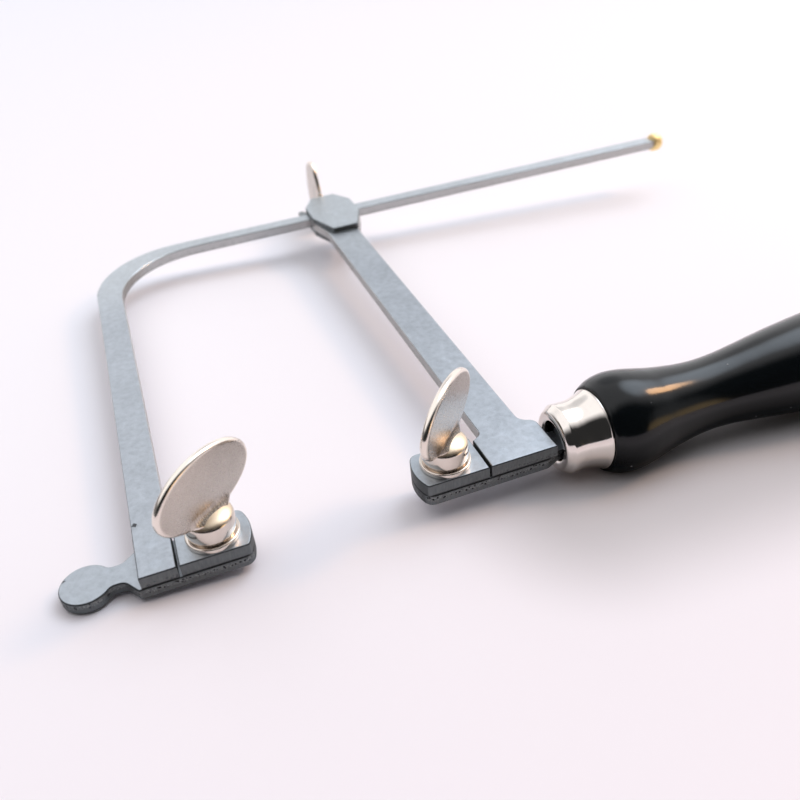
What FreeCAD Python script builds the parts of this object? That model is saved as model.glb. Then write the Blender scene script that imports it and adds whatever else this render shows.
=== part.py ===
import FreeCAD, Part
import Sketcher
import math
import os

# Adjustable jeweller's saw frame, millimetres.
# +X runs along the blade line from the front clamp to the handle, +Y from the
# blade line towards the spine, +Z is up, square to the plane of the frame.
# The origin is on the rear clamp's screw axis, in the blade slit plane (the
# joint between the fixed plates and the jaw plates).

doc = FreeCAD.newDocument("saw_frame")

# ---------------------------------------------------------------- dimensions
# Columns: alias, value, note.
DIMS = [
    ("bow_t", 2.7, "thickness of the bow and of the jaw plates"),
    ("arm_t", 2.78, "thickness of the rear arm, which spaces the cheeks"),
    ("plate_t", 2.45, "thickness of the fixed clamp plates"),
    ("edge_r", 0.28, "broken edge radius on sheet parts"),
    ("rivet_r", 1.1, "clamp rivet radius"),
    # clamps
    ("near_y", 5.3, "blade line to the clamps' -Y edge"),
    ("far_y", 4.8, "blade line to the clamps' +Y edge"),
    ("front_x", 45.8, "front clamp screw, distance to the rear clamp screw"),
    ("front_arm_w", 6.7, "front arm width"),
    ("front_gap", 0.5, "gap between an arm and its jaw plate"),
    ("jaw_in", 7.0, "screw axis to the jaw plate's straight side"),
    ("jaw_out", 6.9, "screw axis to the jaw plate's rounded end"),
    ("end_r", 11.0, "arc radius of the clamps' rounded ends"),
    ("end_bulge", 1.3, "allowance for the bulge of a rounded end"),
    ("corner_r", 2.2, "corners of the fixed plates"),
    ("jaw_corner", 1.8, "+Y corner of a jaw plate"),
    ("jaw_near", 0.6, "-Y corner of a jaw plate"),
    ("bore_r", 2.0, "tapped hole radius in the clamp plates"),
    ("pass_r", 2.15, "plain hole radius in the jaw plates"),
    ("plate_back", 0.55, "front fixed plate, overhang past the arm's -X side"),
    ("back_r", 0.6, "corner of the front fixed plate above the toe"),
    # toe of the front clamp
    ("toe_x", 69.4, "toe centre, distance from the rear screw"),
    ("toe_y", -0.4, "toe centre, offset towards -Y (negative: towards +Y)"),
    ("toe_r", 4.75, "toe radius"),
    ("neck_sin", 0.515, "half width of the toe's neck, in toe radii"),
    ("neck_cos", 0.85719, "toe centre to the neck's end, in toe radii"),
    ("neck_start", 2.2, "start of the neck, past the fixed plate's back"),
    ("neck_fillet", 2.0, "fillets of the toe's neck"),
    # bow
    ("spine_y", 128.1, "inner edge of the spine"),
    ("spine_w", 4.64, "spine width in the frame's plane"),
    ("bend_in", 24.0, "inner radius of the corner"),
    ("bend_out", 25.0, "outer radius of the corner"),
    ("spine_end", 133.4, "end of the spine"),
    # screws
    ("screw_r", 1.95, "thread crest radius"),
    ("root_r", 1.62, "thread root radius"),
    ("pitch", 0.7, "thread pitch"),
    ("screw_plain", 0.35, "clamp screw, seat to the thread"),
    ("collar_r", 5.1, "screw collar radius"),
    ("collar_t", 1.0, "screw collar thickness"),
    ("neck_r", 4.7, "widest radius of the neck"),
    ("neck_h", 6.0, "neck height above the seat"),
    ("wing_a", 11.5, "half width of the oval wing"),
    ("wing_b", 7.3, "half height of the oval wing"),
    ("wing_z", 12.1, "wing centre above the seat"),
    ("wing_t", 1.6, "wing thickness"),
    ("wing_edge", 0.62, "wing rim rounding"),
    ("small_plain", 0.85, "slider screw, seat to the thread"),
    ("small_collar_r", 2.7, "slider screw collar radius"),
    ("small_neck_r", 2.45, "slider screw neck radius"),
    ("small_neck_h", 2.4, "slider screw neck height above the seat"),
    ("small_wing_z", 9.2, "slider screw wing centre above the seat"),
    ("dog_r", 1.15, "radius of the slider screw's dog point"),
    ("dog_edge", 0.25, "chamfer of the dog point"),
    ("stand_off", 0.4, "slider screw collar off the screw block, clamped"),
    # rear arm
    ("rear_arm_x", 9.7, "-X side of the rear arm"),
    ("rear_arm_w", 9.0, "rear arm width"),
    ("foot_end", 21.7, "end of the foot towards the handle"),
    ("foot_round", 2.0, "corner of the foot"),
    ("foot_fillet", 2.6, "fillet between the foot and the arm"),
    ("notch_fillet", 1.8, "fillet beside the rear jaw"),
    # sliding head
    ("head_x", 15.2, "centre of the sliding head"),
    ("head_w", 7.5, "half width of the sliding head"),
    ("head_tip", 3.9, "half width of the head's narrow ends"),
    ("head_y1", 114.2, "-Y end of the head"),
    ("head_y2", 124.2, "end of the -Y tapers"),
    ("head_y3", 134.3, "start of the +Y tapers"),
    ("head_y4", 141.0, "+Y end of the head"),
    ("head_seam", 137.7, "joint between cheeks and screw block"),
    ("cheek_t", 1.5, "cheek thickness"),
    ("slide_gap", 0.06, "running gap between rear arm and spine"),
    ("shoe_t", 1.5, "pressure shoe thickness"),
    ("shoe_lug", 2.4, "length of the shoe's outer lug"),
    ("shoe_play", 0.04, "shoe's clearance to each cheek"),
    ("lift", 1.05, "travel of the shoe"),
    ("lift_gap", 0.1, "clearance past the shoe's travel"),
    ("fork_gap", 0.25, "clearance of the fork beside the dog point"),
    ("socket", 0.7, "depth of the shoe's socket for the dog point"),
    ("socket_gap", 0.08, "clearance of the socket around the dog point"),
    # handle end
    ("handle_y", 0.7, "blade line to the handle axis, towards -Y"),
    ("ferrule_x", 22.9, "mouth of the ferrule"),
    ("ferrule_end", 32.4, "rim of the ferrule"),
    ("ferrule_rm", 7.35, "ferrule radius behind the mouth"),
    ("ferrule_rr", 8.45, "ferrule rim radius"),
    ("ferrule_hole", 4.85, "opening radius in the ferrule's mouth"),
    ("spigot_r", 6.5, "handle spigot radius inside the ferrule"),
    ("tang_w", 6.4, "tang width at the mouth"),
    ("tang_end", 72.0, "tang tip"),
    ("tang_tip", 3.2, "tang width near its tip"),
    ("tang_point", 4.0, "length of the tang's pointed tip"),
    ("tang_start", 1.1, "foot end to the start of the tang"),
    ("tang_root_r", 1.5, "roundings where the plate meets the tang"),
    ("grip_end", 137.75, "end of the grip"),
    # stop screw in the spine's end
    ("stop_r", 2.75, "stop screw head radius"),
    ("stop_len", 4.7, "stop screw head length"),
    ("stop_shank", 1.0, "stop screw shank radius"),
    ("stop_shank_len", 6.6, "stop screw shank length"),
    ("stop_hole", 7.0, "depth of the stop screw's hole"),
]
# Grip stations: distance along the axis, radius.
GRIP = [
    (32.4, 8.9), (33.8, 9.75), (35.6, 10.35), (37.8, 10.62), (40.2, 10.45), (43.6, 9.8),
    (47.0, 9.0), (50.6, 8.36), (54.4, 7.86), (58.6, 7.62), (63.4, 7.82), (68.6, 8.4),
    (74.4, 9.2), (80.6, 9.96), (87.9, 10.65), (95.6, 11.2), (103.4, 11.7), (110.9, 11.95),
    (118.4, 11.75), (124.9, 10.9), (130.2, 9.4), (134.0, 7.3), (136.3, 4.9), (137.3, 2.4),
]
for i, (along, radius) in enumerate(GRIP, 1):
    DIMS.append(("grip_x%d" % i, along, "grip station %d, along the axis" % i))
    DIMS.append(("grip_r%d" % i, radius, "grip station %d, radius" % i))

CLAMP_RINGS = 9     # thread rings on a clamp screw
SLIDER_RINGS = 4    # thread rings on the slider screw
LEAN = 4.1          # degrees the clamp screws' wings lean out of upright
# Clamp screws: label, x, turn about the screw axis in degrees.
CLAMP_SCREWS = [("front_screw", "-front_x", 38.0), ("rear_screw", "0", 46.0)]

sheet = doc.addObject("Spreadsheet::Sheet", "dims")
for row, (alias, size, note) in enumerate(DIMS, 1):
    sheet.set("A%d" % row, alias)
    sheet.set("B%d" % row, str(size))
    sheet.set("C%d" % row, note)
    sheet.setAlias("B%d" % row, alias)
DIM = {alias: size for alias, size, note in DIMS}
doc.recompute()

# ------------------------------------------------- expressions shared by parts
ARM_L = "-front_x-jaw_in-front_gap-front_arm_w"     # -X side of the front arm
ARM_R = "-front_x-jaw_in-front_gap"                 # +X side of the front arm
ARM_MID = "-front_x-jaw_in-front_gap-0.5*front_arm_w"
SPINE_MID = "spine_y+0.5*spine_w"
SPINE_OUT = "spine_y+spine_w"                       # outer edge of the spine
SEAT_Y = "head_y4+stand_off"                        # slider screw's seat
# half width of the sliding head at its seam
SEAM_W = "(head_w-((head_seam-head_y3)/(head_y4-head_y3))*(head_w-head_tip))"

# Rivets: x, y, radius.
FRONT_RIVETS = [(ARM_MID, "-2.9", "rivet_r"), (ARM_MID, "2.4", "rivet_r")]
REAR_RIVETS = [
    ("11.4", "-2.2", "rivet_r"),
    ("17.9", "-2.6", "rivet_r"),
    ("14.4", "2.9", "rivet_r"),
]
HEAD_RIVETS = [
    ("head_x", "head_y1+3.4", "rivet_r"),
    ("head_x", "head_y2+0.4", "rivet_r"),
]
BLOCK_RIVETS = [
    ("head_x-3.7", "head_seam-1.15", "0.75*rivet_r"),
    ("head_x+3.7", "head_seam-1.15", "0.75*rivet_r"),
]


# --------------------------------------------------------- expression helpers
def tokens(expr):
    """Names, numbers and operators of an expression."""
    found, word = [], ""
    for char in expr + " ":
        if char.isalnum() or char in "_.":
            word += char
            continue
        if word:
            found.append(word)
            word = ""
        if char != " ":
            found.append(char)
    return found


def formula(expr):
    """Expression as the document reads it: every alias becomes dims.alias."""
    return "".join("dims." + t if t in DIM else t for t in tokens(expr))


def value(expr):
    """Number of an expression made of + - * / and brackets."""
    todo = tokens(expr)

    def factor():
        item = todo.pop(0)
        if item == "-":
            return -factor()
        if item == "(":
            inside = total()
            todo.pop(0)
            return inside
        return DIM[item] if item in DIM else float(item)

    def product():
        result = factor()
        while todo and todo[0] in "*/":
            if todo.pop(0) == "*":
                result *= factor()
            else:
                result /= factor()
        return result

    def total():
        result = product()
        while todo and todo[0] in "+-":
            if todo.pop(0) == "+":
                result += product()
            else:
                result -= product()
        return result

    return total()


# ------------------------------------------------------------- sketch helpers
NODES = []      # the pieces to export
Z_AXIS = FreeCAD.Vector(0, 0, 1)


def new_body(label):
    body = doc.addObject("PartDesign::Body", label)
    body.Label = label
    NODES.append(body)
    return body


def new_sketch(body, name, role="XY_Plane", offset=None):
    """Sketch on an origin plane, moved along its normal (XZ_Plane's is -Y)."""
    sketch = body.newObject("Sketcher::SketchObject", name)
    plane = next(f for f in body.Origin.OriginFeatures if f.Role == role)
    sketch.AttachmentSupport = [(plane, "")]
    sketch.MapMode = "FlatFace"
    if offset is not None:
        sketch.AttachmentOffset = FreeCAD.Placement(
            FreeCAD.Vector(0, 0, value(offset)), FreeCAD.Rotation())
        sketch.setExpression("AttachmentOffset.Base.z", formula(offset))
    return sketch


def point(corner):
    return FreeCAD.Vector(value(corner[0]), value(corner[1]), 0)


def bind(sketch, expr, kind, *where):
    """Constraint whose value follows an expression."""
    index = sketch.addConstraint(Sketcher.Constraint(kind, *where, value(expr)))
    sketch.setExpression("Constraints[%d]" % index, formula(expr))


def pin(sketch, geo, pos, corner):
    """Fix a point of a geometry by its distances from the sketch origin."""
    bind(sketch, corner[0], "DistanceX", -1, 1, geo, pos)
    bind(sketch, corner[1], "DistanceY", -1, 1, geo, pos)


def close_loop(sketch, edges, corners):
    """Join edges (geometry, start, end) into a loop and pin its corners."""
    for (geo, _, end), (after, start, _) in zip(edges, edges[1:] + edges[:1]):
        sketch.addConstraint(Sketcher.Constraint("Coincident", geo, end, after, start))
    for (geo, start, _), corner in zip(edges, corners):
        pin(sketch, geo, start, corner)
        if len(corner) > 2:
            bind(sketch, corner[2], "Radius", geo)


def outline(sketch, corners):
    """Closed outline.  A corner is (x, y), followed optionally by the radius
    and bulge side ('L' or 'R' of the path) of the arc that leaves it."""
    edges = []
    for corner, following in zip(corners, corners[1:] + corners[:1]):
        start, end = point(corner), point(following)
        if len(corner) == 2:
            edges.append((sketch.addGeometry(Part.LineSegment(start, end), False), 1, 2))
            continue
        chord = end - start
        half = chord.Length / 2.0
        radius = max(value(corner[2]), half * 1.000001)
        height = math.sqrt(max(radius * radius - half * half, 0.0))
        left = FreeCAD.Vector(-chord.y, chord.x, 0).normalize()
        bulges_left = corner[3] == "L"
        centre = (start + end) * 0.5 - left * (height if bulges_left else -height)
        # arcs run counter-clockwise, so one that bulges left is drawn backwards
        ends = (end, start) if bulges_left else (start, end)
        angles = [math.atan2((p - centre).y, (p - centre).x) for p in ends]
        arc = Part.ArcOfCircle(Part.Circle(centre, Z_AXIS, radius), *angles)
        geo = sketch.addGeometry(arc, False)
        edges.append((geo, 2, 1) if bulges_left else (geo, 1, 2))
    close_loop(sketch, edges, corners)


def circle(sketch, x, y, radius):
    geo = sketch.addGeometry(Part.Circle(point((x, y)), Z_AXIS, value(radius)), False)
    pin(sketch, geo, 3, (x, y))
    bind(sketch, radius, "Radius", geo)


def wing_oval(sketch, height):
    """The wing's ellipse, centred on the screw axis at a height."""
    centre = point(("0", height))
    geo = sketch.addGeometry(Part.Ellipse(
        centre + FreeCAD.Vector(DIM["wing_a"], 0, 0),
        centre + FreeCAD.Vector(0, DIM["wing_b"], 0), centre), False)
    sketch.exposeInternalGeometry(geo)
    major, minor = geo + 1, geo + 2
    pin(sketch, geo, 3, ("0", height))
    sketch.addConstraint(Sketcher.Constraint("Horizontal", major))
    bind(sketch, "2*wing_a", "Distance", major)
    bind(sketch, "2*wing_b", "Distance", minor)


# ------------------------------------------------------------ feature helpers
def extrude(kind, body, sketch, length, name, reverse, symmetric):
    feature = body.newObject("PartDesign::" + kind, name)
    feature.Profile = sketch
    feature.Length = value(length)
    feature.setExpression("Length", formula(length))
    feature.Reversed = reverse
    if symmetric:
        # the property's name depends on the FreeCAD version
        if hasattr(feature, "SideType"):
            feature.SideType = "Symmetric"
        else:
            feature.Midplane = True
    sketch.Visibility = False
    doc.recompute()
    return feature


def pad(body, sketch, length, name, reverse=False, symmetric=False):
    return extrude("Pad", body, sketch, length, name, reverse, symmetric)


def pocket(body, sketch, length, name, reverse=False, symmetric=False):
    before = body.Shape.Volume
    extrude("Pocket", body, sketch, length, name, reverse, symmetric)
    if not body.Shape.Volume < before - 1e-6:
        raise RuntimeError("pocket %s cuts nothing" % name)


def pad_outline(body, sketch_name, name, corners, length, offset=None, reverse=False):
    """Flat piece padded from one outline in the frame's plane."""
    sketch = new_sketch(body, sketch_name, offset=offset)
    outline(sketch, corners)
    return pad(body, sketch, length, name, reverse)


def drill(body, sketch_name, name, holes, depth, role="XY_Plane", offset=None, reverse=True):
    """Round holes (x, y, radius), cut along the plane's normal if reversed."""
    sketch = new_sketch(body, sketch_name, role, offset)
    for hole in holes:
        circle(sketch, *hole)
    pocket(body, sketch, depth, name, reverse)


def revolve(body, sketch, name, axis):
    feature = body.newObject("PartDesign::Revolution", name)
    feature.Profile = sketch
    feature.ReferenceAxis = (sketch, [axis])
    feature.Angle = 360.0
    doc.recompute()


def round_edges(body, base, names, radius, name):
    feature = body.newObject("PartDesign::Fillet", name)
    feature.Base = (base, names)
    feature.Radius = value(radius)
    feature.setExpression("Radius", formula(radius))
    doc.recompute()
    return feature


def break_edges(body, base, heights, name, keep=lambda box: True):
    """Break the flat edges at some heights, where keep accepts their box."""
    names = []
    for i, edge in enumerate(base.Shape.Edges, 1):
        box = edge.BoundBox
        at_height = any(abs(box.ZMin - value(z)) < 1e-3 for z in heights)
        if box.ZLength < 1e-4 and at_height and keep(box):
            names.append("Edge%d" % i)
    round_edges(body, base, names, "edge_r", name)


def round_corners(body, base, spots, radius, name):
    """Round upright edges of a flat piece, found by their place."""
    names = []
    for x, y in spots:
        for i, edge in enumerate(base.Shape.Edges, 1):
            box = edge.BoundBox
            upright = box.ZLength > 0.5 and box.XLength < 1e-3 and box.YLength < 1e-3
            if upright and abs(box.XMin - value(x)) < 2e-3 and abs(box.YMin - value(y)) < 2e-3:
                names.append("Edge%d" % i)
                break
        else:
            raise RuntimeError("%s: no edge at %s, %s" % (name, x, y))
    return round_edges(body, base, names, radius, name)


def place(item, x, y, z, rotation=FreeCAD.Rotation()):
    item.Placement = FreeCAD.Placement(FreeCAD.Vector(value(x), value(y), value(z)), rotation)
    for axis, expr in zip("xyz", (x, y, z)):
        item.setExpression("Placement.Base." + axis, formula(expr))


# ------------------------------------------------------- bow and front clamp
def build_bow():
    """One flat bar: front arm, rounded corner and spine.  The corner's arcs
    are not concentric, so the bar narrows into the spine."""
    body = new_body("bow_bar")
    base = pad_outline(body, "bow_outline", "bow_pad", [
        (ARM_L, "-near_y"),
        (ARM_R, "-near_y"),
        (ARM_R, "spine_y-bend_in", "bend_in", "L"),
        (ARM_R + "+bend_in", "spine_y"),
        ("spine_end", "spine_y"),
        ("spine_end", SPINE_OUT),
        (ARM_L + "+bend_out", SPINE_OUT, "bend_out", "R"),
        (ARM_L, SPINE_OUT + "-bend_out"),
    ], "bow_t")
    break_edges(body, base, ("0", "bow_t"), "bow_edges")
    drill(body, "bow_rivets", "bow_rivet_holes", FRONT_RIVETS, "bow_t")
    drill(body, "bow_stop_tap", "bow_stop_hole", [(SPINE_MID, "0.5*bow_t", "stop_shank")],
          "stop_hole", "YZ_Plane", "spine_end", reverse=False)


def build_front_plate():
    """Fixed lower jaw of the front clamp.  Its toe stands out past the arm,
    towards -X."""
    back = ARM_L + "-plate_back"
    neck_start = back + "-neck_start"
    neck_end = "-toe_x+neck_cos*toe_r"
    neck_far = "-toe_y+neck_sin*toe_r"
    neck_near = "-toe_y-neck_sin*toe_r"
    end = "-front_x+jaw_out-end_bulge"
    body = new_body("front_clamp_plate")
    base = pad_outline(body, "fplate_outline", "fplate_pad", [
        (back, "-near_y"),
        (end, "-near_y", "end_r", "R"),
        (end, "far_y"),
        (back, "far_y"),
        (neck_start, neck_far),
        (neck_end, neck_far, "toe_r", "R"),
        ("-toe_x-toe_r", "-toe_y", "toe_r", "R"),
        (neck_end, neck_near),
        (neck_start, neck_near),
    ], "plate_t", reverse=True)
    base = round_corners(body, base, [(end, "-near_y"), (end, "far_y")],
                         "corner_r", "fplate_end")
    neck = [(neck_end, neck_far), (neck_end, neck_near),
            (neck_start, neck_far), (neck_start, neck_near)]
    base = round_corners(body, base, neck, "neck_fillet", "fplate_neck")
    base = round_corners(body, base, [(back, "far_y")], "back_r", "fplate_back")
    break_edges(body, base, ("0", "-plate_t"), "fplate_edges")
    drill(body, "fplate_holes", "fplate_tap", [("-front_x", "0", "bore_r")] + FRONT_RIVETS,
          "plate_t", reverse=False)


def build_jaw_plate(label, x, turned):
    """Loose jaw plate, drawn about its screw axis: straight side against the
    arm, rounded end towards +X, or towards -X when turned."""
    sign = "-" if turned else ""
    side = sign + "(-jaw_in)"
    end = sign + "(jaw_out-end_bulge)"
    # the path runs counter-clockwise either way
    first, last = ("far_y", "-near_y") if turned else ("-near_y", "far_y")
    body = new_body(label)
    base = pad_outline(body, label + "_outline", label + "_pad", [
        (side, first),
        (end, first, "end_r", "R"),
        (end, last),
        (side, last),
    ], "bow_t")
    base = round_corners(body, base, [(end, "far_y")], "jaw_corner", label + "_far")
    base = round_corners(body, base, [(end, "-near_y")], "jaw_near", label + "_near")
    break_edges(body, base, ("0", "bow_t"), label + "_edges")
    drill(body, label + "_hole", label + "_pass", [("0", "0", "pass_r")], "bow_t")
    place(body, x, "0", "0")


# --------------------------------------------------------------- thumb screws
# Head profiles, from the seat up: radius, height, and arcs as in outline().
CLAMP_HEAD = [
    ("collar_r-0.3", "0"),
    ("collar_r", "0.22"),
    ("collar_r", "collar_t-0.3", "0.32", "R"),
    ("collar_r-0.3", "collar_t"),
    ("neck_r-0.62", "collar_t", "0.5", "L"),
    ("neck_r-0.5", "collar_t+0.45", "5.2", "R"),
    ("neck_r-0.02", "neck_h-1.6", "0.9", "R"),
    ("neck_r-0.75", "neck_h-0.8", "10", "R"),
    ("1.2", "neck_h"),
    ("0", "neck_h"),
]
SLIDER_HEAD = [
    ("small_collar_r", "0"),
    ("small_collar_r", "0.6"),
    ("small_neck_r", "0.85"),
    ("small_neck_r", "small_neck_h-0.35"),
    ("small_neck_r-0.35", "small_neck_h"),
    ("0", "small_neck_h"),
]


def ring_z(plain, rings):
    """Height of the lower end of a thread ring, counted down from the seat."""
    return "-(%s+%d*pitch)" % (plain, rings)


def screw_body(label, tip, plain, rings, head, wing_height, lean):
    """Turned body with its seat at local z = 0 and the thread below, drawn as
    rings.  The top of the neck is slotted for the wing."""
    profile = list(tip)
    for i in range(rings, 0, -1):
        low = ring_z(plain, i)
        profile += [("root_r", low), ("screw_r", low + "+0.42*pitch"),
                    ("screw_r", low + "+0.58*pitch")]
    profile += [("root_r", "-" + plain), ("root_r", "0")] + head
    body = new_body(label)
    sketch = new_sketch(body, label + "_profile", "XZ_Plane")
    outline(sketch, profile)
    revolve(body, sketch, label + "_turn", "V_Axis")
    sketch = new_sketch(body, label + "_slot", "XZ_Plane")
    sketch.AttachmentOffset = FreeCAD.Placement(
        FreeCAD.Vector(0, 0, 0), FreeCAD.Rotation(FreeCAD.Vector(1, 0, 0), lean))
    wing_oval(sketch, wing_height)
    pocket(body, sketch, "wing_t", label + "_wing_slot", symmetric=True)
    return body


def screw_wing(label, height):
    """Oval wing with a rounded rim."""
    body = new_body(label)
    sketch = new_sketch(body, label + "_oval", "XZ_Plane")
    wing_oval(sketch, height)
    base = pad(body, sketch, "wing_t", label + "_pad", symmetric=True)
    rim = ["Edge%d" % i for i, edge in enumerate(base.Shape.Edges, 1)
           if edge.BoundBox.YLength < 1e-4 and edge.BoundBox.XLength > 1.0]
    round_edges(body, base, rim, "wing_edge", label + "_rim")
    return body


def build_clamp_screws():
    tip = [("0", ring_z("screw_plain", CLAMP_RINGS))]
    tilt = FreeCAD.Rotation(FreeCAD.Vector(1, 0, 0), LEAN)
    for label, x, turn in CLAMP_SCREWS:
        spin = FreeCAD.Rotation(Z_AXIS, turn)
        body = screw_body(label + "_body", tip, "screw_plain", CLAMP_RINGS, CLAMP_HEAD,
                          "wing_z", LEAN)
        place(body, x, "0", "bow_t", spin)
        place(screw_wing(label + "_wing", "wing_z"), x, "0", "bow_t", spin * tilt)


def build_slider_screw():
    """Points out from the spine, +Y; a dog point reaches into the shoe."""
    dog_z = "-(" + SEAT_Y + "-spine_y-spine_w-shoe_t+socket)"
    tip = [
        ("0", dog_z),
        ("dog_r-dog_edge", dog_z),
        ("dog_r", dog_z + "+dog_edge"),
        ("dog_r", ring_z("small_plain", SLIDER_RINGS)),
    ]
    body = screw_body("slider_screw_body", tip, "small_plain", SLIDER_RINGS, SLIDER_HEAD,
                      "small_wing_z", 0.0)
    wing = screw_wing("slider_screw_wing", "small_wing_z")
    outward = FreeCAD.Rotation(FreeCAD.Vector(1, 0, 0), -90) * FreeCAD.Rotation(Z_AXIS, 90)
    for part in (body, wing):
        place(part, "head_x", SEAT_Y, "0.5*arm_t", outward)


# --------------------------------------------------------------------- rivets
def build_rivets(label, spots, z, length):
    """Flush rivets of one joint, a compound of separate cylinders."""
    cylinders = []
    for i, (x, y, radius) in enumerate(spots, 1):
        cylinder = doc.addObject("Part::Cylinder", "%s_%d" % (label, i))
        cylinder.Radius = value(radius)
        cylinder.Height = value(length)
        cylinder.setExpression("Radius", formula(radius))
        cylinder.setExpression("Height", formula(length))
        place(cylinder, x, y, z)
        cylinders.append(cylinder)
    group = doc.addObject("Part::Compound", label)
    group.Label = label
    group.Links = cylinders
    doc.recompute()
    NODES.append(group)


# -------------------------------------------------------------- rear assembly
def build_rear_arm():
    """Foot on the rear fixed plate, straight arm, and an end that flares to
    the sliding head's outline and stops against the spine."""
    gap_x = "jaw_in+front_gap"
    right = "rear_arm_x+rear_arm_w"
    foot_y = "far_y+0.2"
    notch_y = "far_y+0.1"
    body = new_body("rear_arm")
    base = pad_outline(body, "arm_outline", "arm_pad", [
        (gap_x, "-near_y"),
        ("foot_end", "-near_y"),
        ("foot_end", foot_y),
        (right, foot_y),
        (right, "head_y1-1.2"),
        ("head_x+head_w", "head_y2"),
        ("head_x+head_w", "spine_y-slide_gap"),
        ("head_x-head_w", "spine_y-slide_gap"),
        ("head_x-head_w", "head_y2"),
        ("rear_arm_x", "head_y1+2.0"),
        ("rear_arm_x", notch_y),
        (gap_x, notch_y + "-1.3"),
    ], "arm_t")
    base = round_corners(body, base, [("foot_end", foot_y)], "foot_round", "arm_foot")
    base = round_corners(body, base, [(right, foot_y)], "foot_fillet", "arm_fillet")
    base = round_corners(body, base, [("rear_arm_x", notch_y)], "notch_fillet", "arm_notch")
    # the edges of the flared end are not picked
    break_edges(body, base, ("0", "arm_t"), "arm_edges",
                lambda box: box.YMax < DIM["head_y1"] + 1.0 and box.YMin < 30)
    drill(body, "arm_holes", "arm_rivet_holes", REAR_RIVETS + HEAD_RIVETS, "arm_t")


def tang_path(axis_y):
    """Outline of the tang about an axis, from its -Y root to its +Y root."""
    root_x = "foot_end+tang_start"
    point_x = "tang_end-tang_point"
    return [
        (root_x, axis_y + "-0.5*tang_w"),
        (point_x, axis_y + "-0.5*tang_tip"),
        ("tang_end", axis_y),
        (point_x, axis_y + "+0.5*tang_tip"),
        (root_x, axis_y + "+0.5*tang_w"),
    ]


def build_rear_plate():
    """Fixed plate of the rear clamp, with the tang that enters the handle."""
    end = "-jaw_out+end_bulge"
    near_x = "foot_end-2.0"
    tang = tang_path("-handle_y")
    body = new_body("rear_clamp_plate")
    base = pad_outline(body, "rplate_outline", "rplate_pad", [
        (end, "-near_y"),
        (near_x, "-near_y"),
    ] + tang + [
        ("foot_end", tang[-1][1]),
        ("foot_end", "far_y"),
        (end, "far_y", "end_r", "R"),
    ], "plate_t", reverse=True)
    base = round_corners(body, base, [(end, "-near_y"), (end, "far_y"), ("foot_end", "far_y")],
                         "corner_r", "rplate_end")
    base = round_corners(body, base, [(near_x, "-near_y"), tang[0]],
                         "tang_root_r", "rplate_near")
    # the edges of the tang are not picked
    break_edges(body, base, ("0", "-plate_t"), "rplate_edges",
                lambda box: (box.XMax < DIM["foot_end"] + 1.2
                             and box.XMin < DIM["foot_end"] - 0.5))
    drill(body, "rplate_holes", "rplate_tap", [("0", "0", "bore_r")] + REAR_RIVETS,
          "plate_t", reverse=False)


# --------------------------------------------------------------- sliding head
def build_cheek(label, bottom, outer_face):
    """Cheek of the head; only the edges of its outer face are broken, and the
    joint to the screw block stays sharp."""
    body = new_body(label)
    base = pad_outline(body, label + "_outline", label + "_pad", [
        ("head_x-head_tip", "head_y1"),
        ("head_x+head_tip", "head_y1"),
        ("head_x+head_w", "head_y2"),
        ("head_x+head_w", "head_y3"),
        ("head_x+" + SEAM_W, "head_seam"),
        ("head_x-" + SEAM_W, "head_seam"),
        ("head_x-head_w", "head_y3"),
        ("head_x-head_w", "head_y2"),
    ], "cheek_t", bottom)
    break_edges(body, base, (outer_face,), label + "_edges",
                lambda box: box.YMin < DIM["head_seam"] - 0.05)
    drill(body, label + "_rivets", label + "_holes", HEAD_RIVETS + BLOCK_RIVETS, "cheek_t",
          offset=bottom)


def build_screw_block():
    """Full-height end with the tapped hole, and a forked tongue between the
    cheeks."""
    body = new_body("slider_screw_block")
    base = pad_outline(body, "block_outline", "block_pad", [
        ("head_x-" + SEAM_W, "head_seam"),
        ("head_x+" + SEAM_W, "head_seam"),
        ("head_x+head_tip", "head_y4"),
        ("head_x-head_tip", "head_y4"),
    ], "arm_t+2*cheek_t", "-cheek_t")
    break_edges(body, base, ("-cheek_t", "arm_t+cheek_t"), "block_edges",
                lambda box: box.YMax > DIM["head_seam"] + 0.05)
    tongue_y = SPINE_OUT + "+shoe_t+lift+lift_gap"
    sketch = new_sketch(body, "block_tongue")
    for left, right in (("head_x-" + SEAM_W, "head_x-dog_r-fork_gap"),
                        ("head_x+dog_r+fork_gap", "head_x+" + SEAM_W)):
        outline(sketch, [
            (left, tongue_y),
            (right, tongue_y),
            (right, "head_seam"),
            (left, "head_seam"),
        ])
    pad(body, sketch, "arm_t", "block_fork")
    drill(body, "block_tap", "block_tapped_hole", [("head_x", "0.5*arm_t", "bore_r")],
          "head_y4-head_seam", "XZ_Plane", "-head_y4")
    drill(body, "block_rivets", "block_rivet_holes", BLOCK_RIVETS, "arm_t")


def build_shoe():
    """Pressure shoe on the spine's outer edge, pushed by the dog point.  Its
    lug stands outside the head, towards -X."""
    lug_x = "head_x-head_w-shoe_lug"
    lug_y = SPINE_OUT + "+2*shoe_t"
    body = new_body("slider_shoe")
    pad_outline(body, "shoe_outline", "shoe_pad", [
        (lug_x, SPINE_OUT),
        ("head_x+head_w-1.0", SPINE_OUT),
        ("head_x+head_w-1.0", SPINE_OUT + "+shoe_t"),
        ("head_x-head_w-0.3", SPINE_OUT + "+shoe_t"),
        ("head_x-head_w-0.6", lug_y + "-0.3", "0.5", "R"),
        ("head_x-head_w-1.0", lug_y),
        (lug_x + "+1.0", lug_y, "1.0", "R"),
        (lug_x, lug_y + "-1.0"),
    ], "arm_t-2*shoe_play", "shoe_play")
    drill(body, "shoe_socket", "shoe_socket_hole",
          [("head_x", "0.5*arm_t", "dog_r+socket_gap")], "socket",
          "XZ_Plane", "-(" + SPINE_OUT + "+shoe_t)")


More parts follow.
